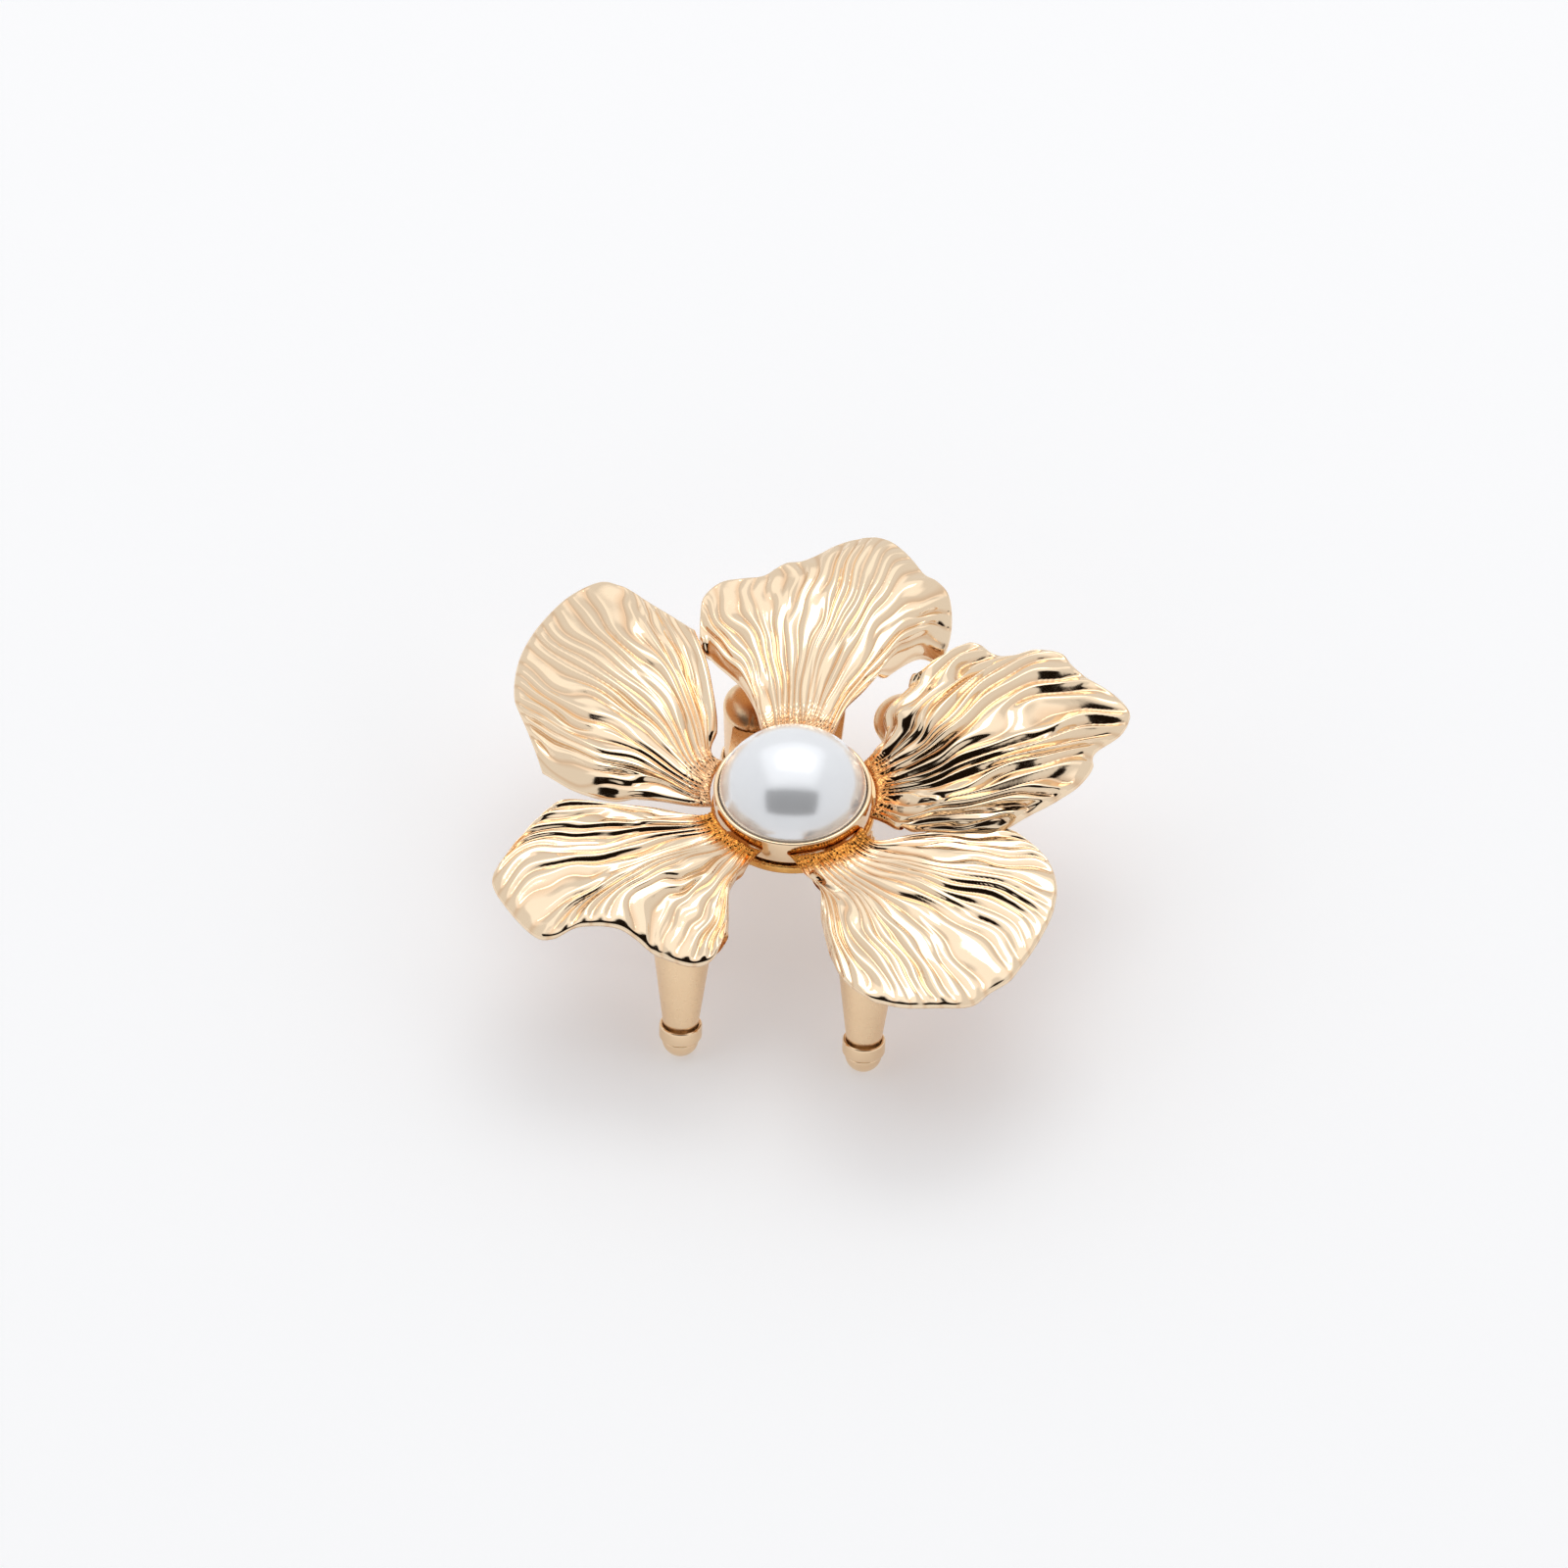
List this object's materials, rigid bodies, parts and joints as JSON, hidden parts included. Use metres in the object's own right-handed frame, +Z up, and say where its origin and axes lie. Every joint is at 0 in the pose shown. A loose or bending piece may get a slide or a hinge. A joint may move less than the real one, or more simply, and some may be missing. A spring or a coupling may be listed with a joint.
{
  "type": "flower hair claw",
  "caption": "Champagne gold flower hair claw: ribbed petals round a half pearl, on a sprung claw with tapered capped prongs.",
  "frame": {"origin": "centre of the bounding box, on the plane that the four tips stand on", "axes": "+Z up through the flower, +X along the hinge pin, +Y towards the sprung back jaw and its thumb lever"},
  "size_m": [0.0632, 0.0618, 0.0253],
  "materials": {
    "polished_gold": "polished champagne gold plate over cast alloy",
    "satin_gold": "satin champagne gold plate",
    "pearl_lacquer": "pearl lacquer over a moulded half pearl",
    "spring_steel": "drawn spring wire"
  },
  "bodies": {
    "ornament": {"petal_top": "polished_gold", "petal_upper_left": "polished_gold", "petal_lower_left": "polished_gold", "petal_lower_right": "polished_gold", "petal_upper_right": "polished_gold", "hub_plate": "polished_gold", "pearl_cup": "polished_gold", "pearl": "pearl_lacquer", "centre_rivet": "satin_gold", "front_saddle": "satin_gold", "hinge_pin": "satin_gold", "pin_cap": "satin_gold", "torsion_spring": "spring_steel", "prong_front_left": "satin_gold", "ferrule_front_left": "polished_gold", "tip_bead_front_left": "polished_gold", "prong_front_right": "satin_gold", "ferrule_front_right": "polished_gold", "tip_bead_front_right": "polished_gold"},
    "back_jaw": {"back_yoke": "satin_gold", "thumb_lever": "satin_gold", "lever_rivet": "satin_gold", "prong_back_left": "satin_gold", "ferrule_back_left": "polished_gold", "tip_bead_back_left": "polished_gold", "prong_back_right": "satin_gold", "ferrule_back_right": "polished_gold", "tip_bead_back_right": "polished_gold"}
  },
  "joints": [
    {"name": "jaw_hinge", "type": "hinge", "parent": "ornament", "child": "back_jaw", "pos_m": [-0.00142, -0.00169, 0.011], "axis": [1, 0, 0], "range_deg": [0, 12], "stiffness_Nm_per_rad": 0.1, "springref_deg": -20.05, "deforming": ["torsion_spring"]}
  ]
}
